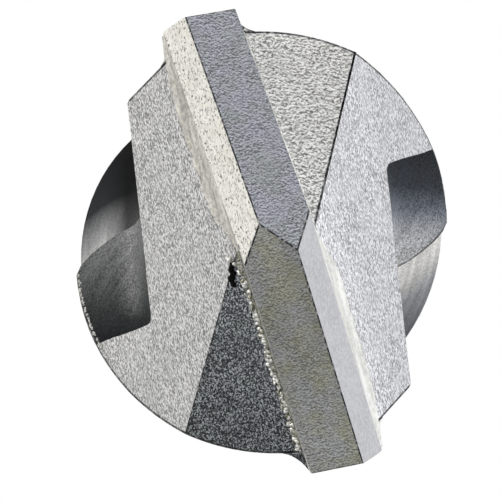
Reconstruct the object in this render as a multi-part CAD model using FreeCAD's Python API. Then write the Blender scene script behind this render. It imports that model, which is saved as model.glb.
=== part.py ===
import FreeCAD, Part
import math
import os

# Hammer drill bit: a one-piece steel body with two right-hand flutes and a two-groove
# 10 mm shank, a carbide plate with two cutting edges, and the braze that holds the plate.
# The axis is Z with the tip up, the origin is the centre of the shank's end face, and the
# carbide plate lies along Y. Depth means distance below the tip. All sizes in millimetres.

Vector = FreeCAD.Vector

# Lengths along the axis
overall_length = 200.0
shank_length = 47.0
collar_length = 6.0
head_length = 19.55

# Diameters
shank_d = 10.0
flute_land_d = 17.7
head_rear_d = 18.2
head_d = 18.5
carbide_width = 20.45

# Steel body: neck and shank end
shank_chamfer = 1.2
neck_fillet_r = 6.0
neck_cone_angle = 45.0
head_step = 0.1
head_taper_length = 6.5

# Shank grooves: two open drive grooves and two closed locking recesses
drive_groove_width = 3.0
drive_groove_depth = 1.4
drive_groove_length = 27.0
drive_cutter_r = 14.0
lock_ball_r = 3.5
lock_web = 7.5
lock_start = 14.5
lock_length = 20.5

# Flutes: a flat floor, a concave blend and a convex heel, all twisted round the axis
lead = 68.0
head_web = 11.26
helix_web = 10.8
heel_crest = 6.03
helix_heel_crest = 5.75
heel_r = 6.65
heel_side = 5.2
heel_sweep = 42.0
heel_blend_r = 2.4
flute_azimuth = -12.0
runout_cutter_r = 36.0
runout_overrun = 0.4
head_flute_overrun = 0.2
head_flute_overlap = 0.5
section_step = 15.0

# Shallow cone, rising towards the axis, in which the head's flutes meet the long ones
crease_angle = 24.0

# Steel point: each half has a wedge facet behind the plate and a steep gash facet before it
point_angle = 130.0
wedge_relief_angle = 28.8
wedge_drop = 1.83
gash_angle = 62.0
gash_depth = 10.2
margin_flat_r = 8.98
margin_flat_azimuth = -69.0

# Carbide plate
carbide_thickness = 3.25
carbide_height = 12.5
end_clearance = 5.0
edge_offset = 0.58
flank_relief_angle = 31.0
rake_slope_angle = 61.5

# Braze: film in the slot, a fillet before the plate, a thin bead behind it and
# fillets up its four outer corners, which differ as the braze ran
braze_film = 0.12
fillet_width = 0.58
fillet_rise_share = 0.85
fillet_hollow = 0.35
fillet_tip_share = 0.15
fillet_start_length = 2.0
fillet_end_length = 2.2
bead_width = 0.16
bead_height = 0.22
leading_corner_fillet = 0.55
upper_trailing_corner_fillet = 0.60
lower_trailing_corner_fillet = 0.85
corner_hollow = 0.25
corner_end_gap = 0.25
fillet_root = 0.24

# How far a cutting shape stands past the surface it opens
overcut = 1.0

# Derived values
tip_z = overall_length
head_r = head_d / 2
carbide_r = carbide_width / 2
half_plate = carbide_thickness / 2
head_z = tip_z - head_length
gash_z = tip_z - gash_depth
plate_bottom_z = tip_z - carbide_height
point_slope = 1 / math.tan(math.radians(point_angle / 2))
wedge_slope = math.tan(math.radians(wedge_relief_angle))
flank_slope = math.tan(math.radians(flank_relief_angle))
gash_slope = math.tan(math.radians(gash_angle))
gash_floor_depth = gash_depth - gash_slope * head_web / 2
rake_slope = math.tan(math.radians(rake_slope_angle))
neck_rise = neck_fillet_r * math.sin(math.radians(neck_cone_angle))
neck_spread = neck_fillet_r * (1 - math.cos(math.radians(neck_cone_angle)))
cone_length = (flute_land_d / 2 - shank_d / 2 - neck_spread) / math.tan(math.radians(neck_cone_angle))
collar_z = shank_length + neck_rise + cone_length
crease_slope = math.tan(math.radians(crease_angle))
reach = head_d
block_size = 4 * head_d


def half_turn(shape):
    """The same shape for the other half of the bit, which repeats after half a turn."""
    copy = shape.copy()
    copy.rotate(Vector(0, 0, 0), Vector(0, 0, 1), 180)
    return copy


def space_above(slope_x, slope_y, depth_at_axis):
    """Everything above a sloping plane, as a block to cut away; depth grows with x and y."""
    corner = Vector(-block_size / 2, -block_size / 2, 0)
    block = Part.makeBox(block_size, block_size, block_size, corner)
    normal = Vector(slope_x, slope_y, 1)
    turn = FreeCAD.Rotation(Vector(0, 0, 1), normal)
    block.Placement = FreeCAD.Placement(Vector(0, 0, tip_z - depth_at_axis), turn)
    return block


def cut_both_halves(shape, cutter):
    return shape.cut([cutter, half_turn(cutter)])


def point_facets():
    """The two planes that shape one side of the steel point."""
    wedge = space_above(wedge_slope, point_slope, wedge_drop)
    azimuth = math.radians(flute_azimuth)
    gash = space_above(gash_slope * math.cos(azimuth), gash_slope * math.sin(azimuth), gash_floor_depth)
    return [wedge, gash]


def turned_blank():
    """The body as turned on a lathe: shank, neck, fluted length and head."""
    shank_r = shank_d / 2
    land_r = flute_land_d / 2
    angle = math.radians(neck_cone_angle)
    arc_end = Vector(shank_r + neck_spread, 0, shank_length + neck_rise)
    half = angle / 2
    middle_r = shank_r + neck_fillet_r * (1 - math.cos(half))
    arc_middle = Vector(middle_r, 0, shank_length + neck_fillet_r * math.sin(half))
    lower = [
        Vector(0, 0, 0),
        Vector(shank_r - shank_chamfer, 0, 0),
        Vector(shank_r, 0, shank_chamfer),
        Vector(shank_r, 0, shank_length),
    ]
    upper = [
        arc_end,
        Vector(land_r, 0, collar_z),
        Vector(land_r, 0, head_z),
        Vector(head_rear_d / 2, 0, head_z + head_step),
        Vector(head_r, 0, head_z + head_step + head_taper_length),
        Vector(head_r, 0, tip_z),
        Vector(0, 0, tip_z),
    ]
    neck = Part.Arc(lower[-1], arc_middle, arc_end).toShape()
    edges = Part.makePolygon(lower).Edges + [neck] + Part.makePolygon(upper + [lower[0]]).Edges
    return Part.Face(Part.Wire(edges)).revolve(Vector(0, 0, 0), Vector(0, 0, 1), 360)


def flute_section(z, web, crest, lift):
    """Outline of the space one flute takes at height z; lift moves it out of the body."""
    floor = web / 2 + lift
    heel_centre = Vector(crest - heel_r + lift, heel_side, 0)
    blend_n = floor + heel_blend_r
    span = heel_r + heel_blend_r
    blend_centre = Vector(blend_n, heel_side - math.sqrt(span ** 2 - (blend_n - heel_centre.x) ** 2), 0)
    blend_start = Vector(floor, blend_centre.y, 0)
    blend_end = heel_centre + (blend_centre - heel_centre) * (heel_r / span)
    chord_middle = (blend_start + blend_end) / 2 - blend_centre
    blend_middle = blend_centre + chord_middle * (heel_blend_r / chord_middle.Length)
    sweep = math.radians(heel_sweep)
    heel_middle = heel_centre + Vector(heel_r, 0, 0)
    heel_end = heel_centre + Vector(heel_r * math.cos(sweep), heel_r * math.sin(sweep), 0)
    floor_start = Vector(floor, -reach, 0)
    far_corners = [Vector(reach, heel_end.y, 0), Vector(reach, -reach, 0)]
    edges = [
        Part.LineSegment(floor_start, blend_start).toShape(),
        Part.Arc(blend_start, blend_middle, blend_end).toShape(),
        Part.Arc(blend_end, heel_middle, heel_end).toShape(),
    ]
    outside = Part.makePolygon([heel_end] + far_corners + [floor_start])
    section = Part.Wire(edges + outside.Edges)
    section.rotate(Vector(0, 0, 0), Vector(0, 0, 1), flute_azimuth + 360 * (z - gash_z) / lead)
    section.translate(Vector(0, 0, z))
    return section


def flute_cutter(z_low, z_high, web, crest, lift_at):
    steps = max(2, math.ceil((z_high - z_low) / lead * 360 / section_step))
    heights = [z_low + (z_high - z_low) * i / steps for i in range(steps + 1)]
    return Part.makeLoft([flute_section(z, web, crest, lift_at(z)) for z in heights], True)


def helix_flute():
    """Flute of the long body, which runs out through the land where the cutter rises."""
    clear = flute_land_d / 2 - helix_web / 2 + runout_overrun
    runout = math.sqrt(2 * runout_cutter_r * clear - clear ** 2)
    z_low = collar_z + collar_length

    def lift(z):
        below = max(0.0, z_low + runout - z)
        return runout_cutter_r - math.sqrt(runout_cutter_r ** 2 - below ** 2)

    z_high = head_z + crease_slope * flute_land_d / 2
    return flute_cutter(z_low, z_high, helix_web, helix_heel_crest, lift).common(below_crease())


def below_crease():
    """All space under the cone in which the head's flutes meet the long ones."""
    rim_r = block_size / 2
    apex_z = head_z + crease_slope * flute_land_d / 2
    rim_z = apex_z - crease_slope * rim_r
    side = [Vector(0, 0, 0), Vector(rim_r, 0, 0), Vector(rim_r, 0, rim_z), Vector(0, 0, apex_z)]
    half = Part.Face(Part.makePolygon(side + side[:1]))
    return half.revolve(Vector(0, 0, 0), Vector(0, 0, 1), 360)


def head_flute():
    """Flute of the head, which the gash facet meets in a straight edge. It is shallower than the
    long flute, so its foot may overlap that one."""
    z_low = head_z - head_flute_overlap
    return flute_cutter(z_low, gash_z + head_flute_overrun, head_web, heel_crest, lambda z: 0.0)


def margin_flat():
    """Flat that relieves the narrow land before the plate, down to the plate's foot."""
    corner = Vector(margin_flat_r, -reach, plate_bottom_z)
    flat = Part.makeBox(reach, 2 * reach, carbide_height + overcut, corner)
    flat.rotate(Vector(0, 0, 0), Vector(0, 0, 1), margin_flat_azimuth)
    return flat


def drive_groove():
    """Open groove from the shank's end, with the round run-out of its milling cutter."""
    floor_x = shank_d / 2 - drive_groove_depth
    rise = 2 * drive_groove_depth
    end_angle = math.acos(1 - rise / drive_cutter_r)
    centre = Vector(floor_x + drive_cutter_r, 0, drive_groove_length)

    def on_cutter(angle):
        return centre + Vector(-drive_cutter_r * math.cos(angle), 0, drive_cutter_r * math.sin(angle))

    ramp = Part.Arc(on_cutter(0), on_cutter(end_angle / 2), on_cutter(end_angle)).toShape()
    outer_x = floor_x + rise
    outer_foot = Vector(outer_x, 0, -overcut)
    inner_foot = Vector(floor_x, 0, -overcut)
    back = Part.makePolygon([on_cutter(end_angle), outer_foot, inner_foot, on_cutter(0)])
    side = Part.Face(Part.Wire([ramp] + back.Edges))
    side.translate(Vector(0, -drive_groove_width / 2, 0))
    return side.extrude(Vector(0, drive_groove_width, 0))


def lock_recess():
    """Closed recess for a locking ball, round at both ends."""
    centre_y = lock_web / 2 + lock_ball_r
    half_chord = math.sqrt(lock_ball_r ** 2 - (centre_y - shank_d / 2) ** 2)
    low = Vector(0, centre_y, lock_start + half_chord)
    high = Vector(0, centre_y, lock_start + lock_length - half_chord)
    run = Part.makeCylinder(lock_ball_r, high.z - low.z, low)
    return run.fuse([Part.makeSphere(lock_ball_r, low), Part.makeSphere(lock_ball_r, high)])


def plate_slot():
    width = carbide_thickness + 2 * braze_film
    corner = Vector(-width / 2, -reach, plate_bottom_z - braze_film)
    return Part.makeBox(width, 2 * reach, carbide_height + braze_film + overcut, corner)


def pointed_head(shape):
    for facet in point_facets():
        shape = cut_both_halves(shape, facet)
    return shape


def fluted_body():
    """The steel body before the slot for the plate is milled."""
    body = turned_blank()
    for cutter in (helix_flute(), head_flute(), margin_flat(), drive_groove(), lock_recess()):
        body = cut_both_halves(body, cutter)
    return pointed_head(body)


def make_carbide_tip():
    """Plate with a roof of two flanks and two rake facets, and ends with side clearance."""
    foot = Vector(-half_plate, -reach, plate_bottom_z)
    plate = Part.makeBox(carbide_thickness, 2 * reach, carbide_height, foot)
    plate = plate.common(Part.makeCylinder(carbide_r, carbide_height, Vector(0, 0, plate_bottom_z)))
    corner = Vector(-edge_offset, math.sqrt(carbide_r ** 2 - edge_offset ** 2), plate_bottom_z - overcut)
    behind = Part.makeBox(reach, reach, carbide_height + 2 * overcut, corner)
    behind.rotate(corner, Vector(0, 0, 1), -end_clearance)
    flank = space_above(flank_slope, point_slope, 0)
    rake = space_above(-rake_slope, point_slope, -(flank_slope + rake_slope) * edge_offset)
    for cutter in (behind, flank, rake):
        plate = cut_both_halves(plate, cutter)
    return plate


def head_edge_y(x, leading):
    """How far the head's outline stands from the X axis at x, behind or before the plate."""
    if not leading:
        return math.sqrt(head_r ** 2 - x ** 2)
    azimuth = math.radians(margin_flat_azimuth)
    return (margin_flat_r - x * math.cos(azimuth)) / abs(math.sin(azimuth))


def corner_fillet(side, end, size):
    """Concave braze fillet up one outer corner of the plate, where it stands out of the head."""
    leading = side * end < 0
    corner = Vector(half_plate, head_edge_y(half_plate, leading), 0)
    rim = Vector(half_plate + size, head_edge_y(half_plate + size, leading), 0)
    top = Vector(half_plate, min(corner.y + size, carbide_r - corner_end_gap), 0)
    chord_middle = (rim + top) / 2
    curve = Part.Arc(top, chord_middle + (corner - chord_middle) * corner_hollow, rim).toShape()
    inside = Vector(half_plate - braze_film, corner.y - size, 0)
    rest = Part.makePolygon([rim, Vector(rim.x, inside.y, 0), inside, Vector(inside.x, top.y, 0), top])
    prism = Part.Face(Part.Wire([curve] + rest.Edges)).extrude(Vector(0, 0, carbide_height))
    prism.translate(Vector(0, 0, plate_bottom_z))
    if side < 0:
        prism = prism.mirror(Vector(0, 0, 0), Vector(1, 0, 0))
    if end < 0:
        prism = prism.mirror(Vector(0, 0, 0), Vector(0, 1, 0))
    return cut_both_halves(pointed_head(prism), head_flute())


def fillet_section(y, facet, width, height):
    """Triangle with a hollow face between the plate's side and one sloping facet."""
    slope_x, slope_y, depth_at_axis = facet

    def facet_z(x):
        return tip_z - depth_at_axis - slope_x * x - slope_y * y

    foot = Vector(half_plate + width, y, facet_z(half_plate + width))
    corner = Vector(half_plate, y, facet_z(half_plate))
    top = corner + Vector(0, 0, height)
    chord_middle = (foot + top) / 2
    curve = Part.Arc(top, chord_middle + (corner - chord_middle) * fillet_hollow, foot).toShape()
    rest = Part.makePolygon([
        foot,
        foot - Vector(0, 0, fillet_root),
        corner - Vector(braze_film, 0, fillet_root),
        top - Vector(braze_film, 0, 0),
        top,
    ])
    return Part.Wire([curve] + rest.Edges)


def plate_fillets():
    """The fillet before the plate and the bead behind it, for the side that faces +X."""
    azimuth = math.radians(flute_azimuth)
    gash = (gash_slope * math.cos(azimuth), gash_slope * math.sin(azimuth), gash_floor_depth)
    wedge = (wedge_slope, point_slope, wedge_drop)
    plate_top_depth = rake_slope * half_plate - (flank_slope + rake_slope) * edge_offset
    length = carbide_r - corner_end_gap
    shares = [(0, fillet_tip_share), (fillet_start_length, 1)]
    shares += [(length - fillet_end_length, 1), (length, fillet_tip_share)]
    sections = []
    for y, share in shares:
        bare_side = gash[2] + gash[0] * half_plate - gash[1] * y - plate_top_depth - point_slope * y
        sections.append(fillet_section(-y, gash, fillet_width * share, fillet_rise_share * bare_side * share))
    bead_ends = [fillet_section(y, wedge, bead_width, bead_height) for y in (0, head_r)]
    return [Part.makeLoft(sections, True, True), Part.makeLoft(bead_ends, True, True)]


def make_braze_joint(body, carbide_tip):
    """The film that fills the slot round the plate, with the fillets that stand out of it."""
    film = plate_slot().common(body).cut(carbide_tip)
    fillets = plate_fillets()
    fillets += [half_turn(fillet) for fillet in fillets]
    corners = [
        corner_fillet(-1, 1, leading_corner_fillet),
        corner_fillet(1, 1, upper_trailing_corner_fillet),
        corner_fillet(1, -1, leading_corner_fillet),
        corner_fillet(-1, -1, lower_trailing_corner_fillet),
    ]
    return film.fuse([piece.cut([body, carbide_tip]) for piece in fillets + corners])


def main():
    os.makedirs("parts", exist_ok=True)
    body = fluted_body()
    steel_body = body.cut(plate_slot())
    carbide_tip = make_carbide_tip()
    braze_joint = make_braze_joint(body, carbide_tip)
    nodes = {"steel_body": steel_body, "carbide_tip": carbide_tip, "braze_joint": braze_joint}
    for name, shape in nodes.items():
        print(name, "solids", len(shape.Solids), "valid", shape.isValid(), "volume", round(shape.Volume, 2))
        shape.exportStep("parts/" + name + ".step")


main()
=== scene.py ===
import contextlib
import functools
import random
from math import acos, atan2, ceil, cos, hypot, pi, radians, sin, sqrt, tan

import bmesh
import bpy
from bpy.props import FloatProperty, FloatVectorProperty, IntProperty, PointerProperty
from mathutils import Matrix, Vector, noise


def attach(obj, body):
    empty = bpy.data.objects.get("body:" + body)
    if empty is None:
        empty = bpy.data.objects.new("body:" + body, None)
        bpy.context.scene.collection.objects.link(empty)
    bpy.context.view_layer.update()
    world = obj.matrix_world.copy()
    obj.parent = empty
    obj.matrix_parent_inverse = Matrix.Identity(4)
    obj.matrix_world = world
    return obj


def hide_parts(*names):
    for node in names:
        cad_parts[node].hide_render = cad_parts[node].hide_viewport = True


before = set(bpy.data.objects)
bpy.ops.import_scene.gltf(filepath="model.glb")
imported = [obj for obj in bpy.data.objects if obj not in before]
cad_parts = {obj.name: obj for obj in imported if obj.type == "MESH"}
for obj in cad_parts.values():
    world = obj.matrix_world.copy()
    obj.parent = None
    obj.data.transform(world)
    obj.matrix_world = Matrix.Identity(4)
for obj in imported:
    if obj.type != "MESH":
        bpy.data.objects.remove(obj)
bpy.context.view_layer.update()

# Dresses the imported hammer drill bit. The axis is Z with the tip up and the plate lies along Y.
# The steel body is swept again from its flute section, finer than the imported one, and cut to the
# same facets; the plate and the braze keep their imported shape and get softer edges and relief.

bl_info = {
    "name": "Hammer Drill Bit",
    "version": (1, 0, 0),
    "blender": (4, 5, 0),
    "location": "3D View > Sidebar > Drill Bit",
    "description": "Builds the looks of a carbide-tipped hammer drill bit round its packed solids",
    "category": "Add Mesh",
}

MM = 0.001
FEWEST_FACES = 5000

# Shares of a face's normal: along a facet's own, outwards on the rim, upwards on the plate's sides
# and flanks
SAME_PLANE = 0.995
RIM_SHARE = 0.95
SIDE_SLOPE = 0.3
FLANK_SLOPE = 0.7

# Fine sizes in millimetres: crystals with painted glints, points to merge, braze beside the plate, and the
# widths of the painted dark lines of shade along the edges
CRYSTAL = 0.065
MERGE = 0.002
BRAZE_FILM = 0.12
RIM_LINE = 0.12
RIDGE_LINE = 0.07
FACET_LINE = 0.04
PLATE_LINE = 0.05

# The burr lies on the left rim between these heights over the head's shoulder, in millimetres;
# its lumps start a little inside the rim and scatter inwards
BURR_LOW = 0.3
BURR_HIGH = 5.2
BURR_INSIDE = 0.13
BURR_SCATTER = 0.07
BURR_SIZES = (0.025, 0.07)
BURR_COUNT = 100
BURR = (0.4, 0.4, 0.38)

# Braze, in millimetres: upward share from which a face is open skin, reach of its four corners,
# longest mesh edges and depth of the waves; how far the beads lie off the plate and how much that
# varies, and where they start and end along it; then side, count, largest size and kinds of them
SKIN_SLOPE = 0.15
CORNER_REACH = 0.35
SKIN_EDGE = 0.16
CORNER_EDGE = 0.08
LEFT_WAVES = 0.018
RIGHT_WAVES = 0.004
BEAD_PLACE = (0.12, 0.05)
BEAD_REACH = (0.3, 9.0)
# On the left about a third of the beads are painted shade copies, the others painted lit copies
BEADS = (
    (-1, 330, 0.12, ("bead_bright", "bead_bright", "bead_dark")),
    (1, 70, 0.05, ("bead_bright",)),
)

# Burnt flux among the beads and in the pocket beside the chisel edge: the pocket's two ends, and
# x, y and size of the lumps on its rim, in millimetres
BURNT = 0.006
BURNT_SHARE = 0.03
BURNT_LUMPS = 11
POCKET = ((-2.06, -0.42), (-2.26, -1.22))
POCKET_RIM = (
    (-2.1, -0.2, 0.15), (-1.95, -0.45, 0.09), (-1.86, -0.85, 0.12), (-1.88, -1.3, 0.1), (-2.35, -1.15, 0.06),
)

# Directions from which the grain's painted shading looks lit, and tones of the steel that paint its light
# and
# shade: in the head by millimetres along LIT_ABOVE, in the long flutes by height, bare below BARE_STEEL and
# heat-tinted above it, where the tinted tones carry painted light and shade, pale just under the head and
# darkest a few millimetres lower
LIT_LEFT = Vector((-0.96, 0.27, 0.0))
LIT_ABOVE = Vector((0.27, 0.96, 0.0))
BARE_STEEL = (142, 168)
HEAD_RIGHT_PAINTED_SHADING = (
    (-1.0, 0.66), (0.35, (0.37, 0.38, 0.4)), (1.35, (0.14, 0.155, 0.18)),
    (2.4, (0.035, 0.041, 0.05)), (4.3, (0.008, 0.01, 0.012)),
)
HEAD_LEFT_PAINTED_SHADING = (
    (-5.1, (0.002, 0.002, 0.003)), (-3.8, (0.007, 0.008, 0.009)), (-2.7, (0.022, 0.024, 0.025)),
    (-1.45, (0.058, 0.06, 0.062)), (0.65, (0.12, 0.123, 0.125)),
)
FLUTE_RIGHT_TINT_AND_PAINTED_SHADING = (
    (150.0, (0.4, 0.39, 0.38)), (164.0, (0.2, 0.2, 0.22)), (173.0, (0.1, 0.105, 0.12)),
    (177.0, (0.34, 0.35, 0.37)), (179.5, (0.9, 0.88, 0.84)),
)
FLUTE_LEFT_TINT_AND_PAINTED_SHADING = (
    (150.0, (0.4, 0.39, 0.38)), (164.0, (0.1, 0.1, 0.11)), (173.0, (0.01, 0.011, 0.013)),
    (177.0, (0.02, 0.022, 0.025)), (180.6, (0.39, 0.395, 0.4)),
)
GASH_GRAIN = (1.3, 0.85, 1)

# A grain's lit side is looked for this share of its size away, over a step of this half width
GRAIN_SHIFT = 0.2
GRAIN_STEP = 0.08

# A mix node's sockets share their names, so these numbers tell those of its colours apart
MIX_SHARE, MIX_FIRST, MIX_SECOND, MIX_RESULT = 0, 6, 7, 2

# Stage, in metres and in the picture's own directions. A light has a name, its place across, up
# and over the head, power, size and colour; a flag its place, the height aimed at and its size;
# the side flags stand round the bit at these bearings
PICTURE_RIGHT = Vector((0.948, -0.317, 0))
PICTURE_UP = Vector((0.317, 0.948, 0))
LIGHTS = (
    ("key_left", -0.5, 0.25, 0.35, 2.4, 0.3, (1.0, 0.97, 0.92)),
    ("fill_right", 0.55, 0.1, 0.25, 1.6, 0.4, (0.93, 0.95, 1.0)),
    ("top_soft", 0.0, 0.6, 0.25, 1.2, 0.3, (1.0, 1.0, 1.0)),
)
FLAGS = (
    ("flag_below", -0.08, -0.3, 0.22, 0.2, 0.34, 0.45),
    ("flag_above", 0.0, 0.3, 0.06, 0.1, 0.3, 0.22),
)
SIDE_FLAGS = (20, 110, 200, 290)
SIDE_FLAG_AWAY, SIDE_FLAG_UP = 0.6, 0.07
FLAG_COLOUR = (0.02, 0.022, 0.025)
CAMERA_PLACE = (-4.820, -1.528, 300.706)
CAMERA_TURN = (1.389, -1.666, -18.484)
CAMERA_LENS = 178.15


def length(name, millimetres, description):
    return FloatProperty(
        name=name, description=description, default=millimetres * MM, unit="LENGTH", precision=5
    )


def angle(name, degrees, description):
    return FloatProperty(name=name, description=description, default=radians(degrees), subtype="ANGLE")


def colour(name, red, green, blue, description):
    return FloatVectorProperty(
        name=name, description=description, default=(red, green, blue), subtype="COLOR", size=3, min=0, max=1
    )


def point_count(name, number, description):
    return IntProperty(name=name, description=description, default=number, min=2)


class BodySizes(bpy.types.PropertyGroup):
    overall: length("Overall length", 200, "From the shank's end to the tip")
    shank: length("Shank length", 47, "Plain and grooved round shank, below the neck")
    shank_d: length("Shank diameter", 10, "Standard grooved shank")
    chamfer: length("Shank chamfer", 1.2, "Bevel round the shank's end")
    collar: length("Collar", 6, "Full round stretch between the neck and the flutes")
    land_d: length("Land diameter", 17.7, "Across the lands of the flutes")
    neck_radius: length("Neck radius", 6, "Hollow that leads from the shank into the cone")
    neck_angle: angle("Neck angle", 45, "Slope of the cone under the collar")
    groove_width: length("Drive groove width", 3, "Two open grooves for the chuck's keys")
    groove_depth: length("Drive groove depth", 1.4, "Depth of the drive grooves")
    groove_length: length("Drive groove length", 27, "Full-depth length from the shank's end")
    groove_cutter: length("Groove cutter radius", 14, "Radius of the groove's run-out")
    lock_radius: length("Lock recess radius", 3.5, "Radius of the two closed recesses")
    lock_web: length("Lock web", 7.5, "Steel left between the recess floors")
    lock_start: length("Lock recess start", 14.5, "Height at which the recesses begin")
    lock_length: length("Lock recess length", 20.5, "Length of each recess")


class FluteSizes(bpy.types.PropertyGroup):
    lead: length("Lead", 68, "Height in which a flute makes one turn")
    helix_web: length("Helix web", 10.8, "Core between the flute floors")
    helix_crest: length("Helix crest", 5.75, "Reach of the heel in the long flutes")
    head_web: length("Head web", 11.26, "Core between the floors in the head")
    head_crest: length("Head crest", 6.03, "Reach of the heel in the head")
    heel_radius: length("Heel radius", 6.65, "Convex back of the flute")
    heel_side: length("Heel side", 5.2, "Sideways place of the heel's centre")
    heel_sweep: angle("Heel sweep", 42, "How far the heel's arc goes round")
    blend_radius: length("Blend radius", 2.4, "Hollow between floor and heel")
    azimuth: angle("Flute azimuth", -12, "Direction of the flute at the gash")
    runout_radius: length("Run-out radius", 36, "Cutter radius where the flute leaves the body")
    overrun: length("Run-out overrun", 0.4, "How far past the land the cutter rises")
    ring_step: length("Ring step", 0.8, "Height between two rings of the mesh")
    floor_points: point_count("Floor points", 12, "Points across the flat floor")
    blend_points: point_count("Blend points", 10, "Points along the hollow blend")
    heel_points: point_count("Heel points", 22, "Points along the convex heel")
    land_points: point_count("Land points", 44, "Points round one land")


class HeadSizes(bpy.types.PropertyGroup):
    length: length("Head length", 19.55, "From the head's shoulder to the tip")
    rear_d: length("Head rear diameter", 18.2, "Behind the taper")
    front_d: length("Head diameter", 18.5, "At the plate")
    step: length("Head step", 0.1, "Height of the shoulder from the lands to the head")
    crease: angle("Crease angle", 24, "Rise towards the axis of the cone in which the flutes meet")
    crease_fade: length("Crease fade", 6, "Height over which the mesh follows that cone")
    taper: length("Head taper length", 6.5, "Height over which the head widens")
    point_angle: angle("Point angle", 130, "Between the two cutting edges")
    wedge_relief: angle("Wedge relief", 28.8, "Slope of the steel facet behind the plate")
    wedge_drop: length("Wedge drop", 1.83, "Depth of that facet under the tip")
    gash_angle: angle("Gash angle", 62, "Slope of the steep facet before the plate")
    gash_depth: length("Gash depth", 10.2, "Depth at which the gash meets the flute floor")
    flat_radius: length("Margin flat radius", 8.98, "Distance of the flat before the plate from the axis")
    flat_azimuth: angle("Margin flat azimuth", -69, "Direction of that flat")
    slot_width: length("Slot width", 3.49, "Slot for the plate and its braze")
    slot_depth: length("Slot depth", 12.62, "Depth of the slot under the tip")


class Finishes(bpy.types.PropertyGroup):
    blasted: colour("Blasted steel", 0.5, 0.5, 0.5, "Steel of the head after blasting")
    # A painted lit copy of the blasted steel, for the gash on the first side
    blasted_painted_lit: colour("Blasted steel, cool side", 0.62, 0.62, 0.64, "Gash that faces the cool light")
    # The wedge behind the plate in two copies of one steel, painted lit and painted shade; the braze corners
    # use them too
    wedge_bright: colour("Bright wedge", 0.6, 0.597, 0.577, "Coarse bright facet behind the plate")
    wedge_dark: colour("Dark wedge", 0.085, 0.09, 0.097, "Coarse dark facet behind the plate")
    flute_bright: colour("Flute steel", 0.52, 0.51, 0.5, "Smooth steel of the flutes and lands")
    shank_steel: colour("Shank steel", 0.5, 0.5, 0.51, "Ground steel of the shank")
    # Flanks and rakes are tones of one carbide, each a painted reflection of the studio by the way its facet
    # faces
    flank_blue: colour("Upper flank", 0.24, 0.246, 0.277, "Carbide flank with a bluish cast")
    flank_olive: colour("Lower flank", 0.26, 0.262, 0.215, "Carbide flank with an olive cast")
    rake_cream: colour("Upper rake", 0.8, 0.79, 0.745, "Bright speckled rake")
    rake_lavender: colour("Lower rake", 0.56, 0.56, 0.58, "Fine pale rake")
    carbide_side: colour("Carbide sides", 0.4, 0.4, 0.4, "Ends and sides of the plate")
    braze: colour("Braze", 0.62, 0.6, 0.55, "Pale silver-brass fillets")
    # A painted lit copy of the braze, for the right fillet and the beads
    braze_painted_lit: colour("Bright braze", 0.84, 0.83, 0.79, "Braze that faces the cool light")
    braze_stain: colour("Braze stain", 0.16, 0.13, 0.07, "Burnt flux in the braze")
    # A painted dark line of shade along edges, and its paler painted highlight where it breaks
    edge: colour("Edge line", 0.025, 0.027, 0.03, "Thin dark line along worn edges")
    edge_pale: colour("Edge line, worn through", 0.3, 0.3, 0.3, "Where the dark line is broken")


def settings(context):
    scene = context.scene
    return scene.bit_body, scene.bit_flutes, scene.bit_head, scene.bit_finishes


def wedge_plane(head):
    """Slopes along X and Y and depth at the axis of the facet behind the plate."""
    return tan(head.wedge_relief), 1 / tan(head.point_angle / 2), head.wedge_drop


def gash_plane(head, flutes):
    slope = tan(head.gash_angle)
    depth = head.gash_depth - slope * flutes.head_web / 2
    return slope * cos(flutes.azimuth), slope * sin(flutes.azimuth), depth


def flute_parts(flutes, web, crest, lift):
    """Floor, blend and heel of a flute at rest azimuth, each as a function of 0 to 1."""
    floor = web / 2 + lift
    heel = Vector((crest - flutes.heel_radius + lift, flutes.heel_side))
    blend_n = floor + flutes.blend_radius
    span = flutes.heel_radius + flutes.blend_radius
    blend = Vector((blend_n, heel.y - sqrt(span ** 2 - (blend_n - heel.x) ** 2)))
    towards = atan2(heel.y - blend.y, heel.x - blend.x)
    back = towards - pi

    def on_blend(t):
        a = pi + (towards - pi) * t
        return blend + flutes.blend_radius * Vector((cos(a), sin(a)))

    def on_heel(t):
        a = back + (flutes.heel_sweep - back) * t
        return heel + flutes.heel_radius * Vector((cos(a), sin(a)))

    return floor, blend.y, on_blend, on_heel


def inside_part(curve, radius, count):
    """Points along a curve up to where it leaves the circle; past it they all stay on that point."""
    end = 1.0
    steps = 60
    for i in range(steps + 1):
        if curve(i / steps).length > radius:
            low, high = max(0, i - 1) / steps, i / steps
            for _ in range(20):
                middle = (low + high) / 2
                low, high = (low, middle) if curve(middle).length > radius else (middle, high)
            end = low
            break
    return [curve(end * i / count) for i in range(1, count + 1)], end < 1.0


def flute_outline(flutes, web, crest, lift, radius):
    """Half of the body's outline at one height: flute, then land, before it is turned."""
    floor, floor_end, on_blend, on_heel = flute_parts(flutes, web, crest, lift)
    reach = sqrt(max(0.0, radius ** 2 - floor ** 2))
    floor = min(floor, radius)
    stop = min(floor_end, reach)
    across, count = stop + reach, flutes.floor_points
    points = [Vector((floor, -reach + across * i / count)) for i in range(count + 1)]
    left = floor_end >= reach
    for curve, count in ((on_blend, flutes.blend_points), (on_heel, flutes.heel_points)):
        if left:
            points += [points[-1].copy() for _ in range(count)]
        else:
            part, left = inside_part(curve, radius, count)
            points += part
    first = atan2(points[-1].y, points[-1].x)
    last = pi + atan2(points[0].y, points[0].x)
    for i in range(1, flutes.land_points):
        a = first + (last - first) * i / flutes.land_points
        points.append(radius * Vector((cos(a), sin(a))))
    return points


def flute_turn(body, flutes, head, z):
    """Angle to which the flutes have turned at a height."""
    gash_z = body.overall - head.gash_depth
    return flutes.azimuth + 2 * pi * (z - gash_z) / flutes.lead


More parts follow.
